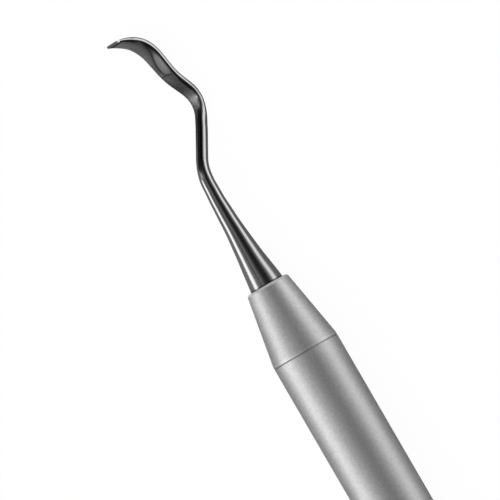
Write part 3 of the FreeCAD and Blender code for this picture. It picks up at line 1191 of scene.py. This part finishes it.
def make_working_end():
    """Rings and ground end as one closed mesh, with the attributes that the finish reads."""
    at, a, n = strap_rows()
    x, q, w = section_points(at, a, n)
    tang_at, tang_w, tang_q = tang_rows()
    end_a, end_n = end_rows(a[-1], n[-1])
    end_at = end_of_line(end_a, end_n)
    end_x, end_q, end_w = section_points(end_at, end_a, end_n)
    groups = [
        laid_down(tang_at + CONE_LENGTH, tang_q, tang_w),
        laid_down(x, q, w),
        laid_down(end_x, end_q, end_w),
        laid_down(CONE_LENGTH - TANG_LENGTH, 0.0, 0.0),
    ]
    points = np.vstack([group.reshape(-1, 3) for group in groups])
    rows = len(tang_at) + len(at)
    ring_start = (rows - 1) * AROUND
    quads, fans = end_faces(ring_start, rows * AROUND)
    sides = grid_quads(rows, AROUND)
    back = fan(np.arange(AROUND)[::-1], len(points) - 1)
    piece = make_piece(
        "working_end_polished", points, np.concatenate([sides, quads]), np.concatenate([back, fans]))

    straight = [
        np.stack([tang_at, tang_w, tang_q], axis=-1),
        straightened(at, a, n),
        straightened(end_at, end_a, end_n),
        np.array([[-TANG_LENGTH, 0.0, 0.0]]),
    ]
    straight = np.vstack([part.reshape(-1, 3) for part in straight])
    painted_reflection = np.where(n > 0, inside_painted_reflection(at, a * width_at(at) / 2), OUTSIDE)
    marks = {
        "inner_face": (inner_face_mask(at, a, n), 0.0),
        "painted_reflection": (painted_reflection, OUTSIDE),
        "shade_lines": (shade_lines_mask(at, a, n), 0.0),
    }
    ground = np.zeros(len(piece.data.polygons))
    ground[len(sides):len(sides) + len(quads)] = 1.0
    ground[len(ground) - len(fans):] = 1.0
    keep(piece, "straight", "FLOAT_VECTOR", "POINT", straight * MM)
    for name, (values, elsewhere) in marks.items():
        values = on_rings(values, len(tang_at) * AROUND, len(points), elsewhere)
        keep(piece, name, "FLOAT", "POINT", values)
    keep(piece, "ground_end", "FLOAT", "FACE", ground)
    return piece


working_end = make_working_end()
print("working end", len(working_end.data.vertices), "points")

# %% [markdown]
# Polished steel
#
# The working end is polished with felt and paste along its length. It mirrors the tent almost
# sharply, and a little less so near the cone, where the felt hardly reaches. Fine lines along
# the rod soften the mirror. They are a noise stretched along the straightened rod, because a
# noise on the object's own place wouldn't follow the bends.
#
# The inner face of the strap is left as it was ground: darker, matt, with lines across it. A dark
# curve on it, with darker and lighter parts round it, is a painted reflection. The bevel is
# ground last, and one frosted corner of it catches the light; its colour is lightened towards
# that corner as a painted highlight. Dark lines of painted shade, where rounded edges would
# mirror the dark ceiling, are mixed in as a dark matt shader, because a dark metal would still
# shine at a shallow angle. A dark line at the mouth of the cone is the shadow in the joint.

# %% Make the polished finish
POLISH_BASE = 0.44
POLISH_ROUGH = 0.11
NEAR_CONE = (8.0, 1.0)
NEAR_CONE_ROUGH = 0.07
MOUTH = (0.24, 0.10)
MOUTH_SHADE = 0.8
LINE_SCALES = (500.0, 14000.0, 14000.0)
LINE_SHADE = 0.16
LINE_BUMP = 0.5
CROSS_SCALES = (9000.0, 1200.0, 1200.0)
CROSS_SHADE = 0.05
PATCH_SCALE = 900.0
PATCH_CHANGE = 0.04
BUMP_STRENGTH = 0.05
BUMP_DEPTH = 0.01
FACE_BASE = 0.37
FACE_ROUGH = 0.38
# The elbow's hollow, where the ground face begins; there its colour is lifted as painted light.
HOLLOW = (FLAT_TO + 2.0, FLAT_TO)
HOLLOW_ROUGH = 0.45
HOLLOW_PAINTED_LIGHT = 0.25
# The painted reflection: its dark border, the band outside it, and its near and far half, each
# with its steps over the distance inside the border or along the line.
BORDER_RISE = (-0.52, -0.08)
BORDER_FALL = (0.15, 0.0)
BORDER_SHADE = 0.62
OUTSIDE_RISE = (-1.3, -0.3)
OUTSIDE_FALL = (0.1, -0.1)
OUTSIDE_ALONG = (33.0, 33.8)
OUTSIDE_SHADE = 0.42
INSIDE_RISE = (0.0, 0.2)
NEAR_ALONG = (37.8, 35.8)
NEAR_LIFT = 0.04
FAR_ALONG = (35.8, 37.0)
FAR_SHADE = 0.65
END_BASE = 0.34
END_ROUGH = 0.30
# Painted highlight: the bevel's colour is lightened towards its upper corner.
CORNER_FROM = (0.6, 1.3)
CORNER_PAINTED_HIGHLIGHT = 0.6
FROST_FROM = (0.95, 1.15)
FROST_MATT = 0.75
# Painted shade: the dark lines mix a near black matt shader into the steel.
SHADE_LINES_SHARE = 0.97
SHADE_LINES_COLOUR = (0.01, 0.01, 0.01, 1.0)


def attribute(tree, name, output="Fac"):
    """An attribute of the mesh as a wire."""
    return tree.add("ShaderNodeAttribute", {"attribute_name": name}, output=output)


def painted_reflection_shade(along, painted_reflection, face):
    """Painted reflection on the ground face: the product of 1 - mask * shade for the border, the
    band outside it and the far half inside, and of 1 + mask * lift for the near half; each mask
    is made of smooth steps."""
    border = painted_reflection.step(*BORDER_RISE) * painted_reflection.step(*BORDER_FALL) * face
    outside = painted_reflection.step(*OUTSIDE_RISE) * painted_reflection.step(*OUTSIDE_FALL) * face
    inside = painted_reflection.step(*INSIDE_RISE) * face
    dark = (1 - border * BORDER_SHADE) * (1 - outside * along.step(*OUTSIDE_ALONG) * OUTSIDE_SHADE)
    dark = dark * (1 - inside * along.step(*FAR_ALONG) * FAR_SHADE)
    return dark * (1 + inside * along.step(*NEAR_ALONG) * NEAR_LIFT)


def make_polish():
    """Mirror metal with lines along the rod, mixed with the ground face and the ground end."""
    material = bpy.data.materials.new("polished_steel")
    tree = Tree(material)
    rod = attribute(tree, "straight", "Vector")
    face = attribute(tree, "inner_face")
    end = attribute(tree, "ground_end")
    along = in_millimetres(tree, rod)
    across = tree.outputs_of(along, 1)[0]
    lines = noise(tree, stretched(tree, rod, LINE_SCALES), 1.0, 3.0)
    cross = noise(tree, stretched(tree, rod, CROSS_SCALES), 1.0, 3.0)
    patches = (noise(tree, rod, PATCH_SCALE, 3.0) - 0.5) * PATCH_CHANGE
    plain = 1 - face
    hollow = along.step(*HOLLOW)

    shade = POLISH_BASE + (FACE_BASE - POLISH_BASE) * face + patches
    shade = shade + (lines - 0.5) * plain * LINE_SHADE + (cross - 0.5) * face * CROSS_SHADE
    # Painted light lifts the ground face in the elbow's hollow.
    shade = shade * (1 + hollow * face * HOLLOW_PAINTED_LIGHT) * (1 - along.step(*MOUTH) * MOUTH_SHADE)
    # The painted reflection darkens and lightens the ground face.
    shade = shade * painted_reflection_shade(along, attribute(tree, "painted_reflection"), face)
    # Painted highlight on the ground end, lighter towards its upper corner.
    shade = shade * (1 - end) + end * (END_BASE + across.step(*CORNER_FROM) * CORNER_PAINTED_HIGHLIGHT)

    face_rough = FACE_ROUGH + hollow * (HOLLOW_ROUGH - FACE_ROUGH)
    rough = (POLISH_ROUGH + along.step(*NEAR_CONE) * NEAR_CONE_ROUGH) * plain
    rough = (rough + face_rough * face + patches) * (1 - end) + end * END_ROUGH

    height = lines * plain * LINE_BUMP + cross * face
    bumped = {"Strength": BUMP_STRENGTH, "Distance": BUMP_DEPTH * MM, "Height": height}
    values = {
        "Base Color": grey(tree, shade),
        "Metallic": 1 - end * across.step(*FROST_FROM) * FROST_MATT,
        "Roughness": rough,
        "Normal": tree.add("ShaderNodeBump", inputs=bumped),
    }
    steel = tree.add("ShaderNodeBsdfPrincipled", inputs=values)
    # Painted shade of the dark lines along the rims and the bevel.
    dark = tree.add("ShaderNodeBsdfDiffuse", inputs={"Color": SHADE_LINES_COLOUR})
    share = attribute(tree, "shade_lines") * SHADE_LINES_SHARE
    surface = tree.add("ShaderNodeMixShader", inputs={0: share, 1: steel, 2: dark})
    tree.add("ShaderNodeOutputMaterial", inputs={"Surface": surface})
    return material


dress(working_end, make_polish(), "polished_steel", "working_end")

# %% [markdown]
# The visible pieces have to fill the same box as the packed model.
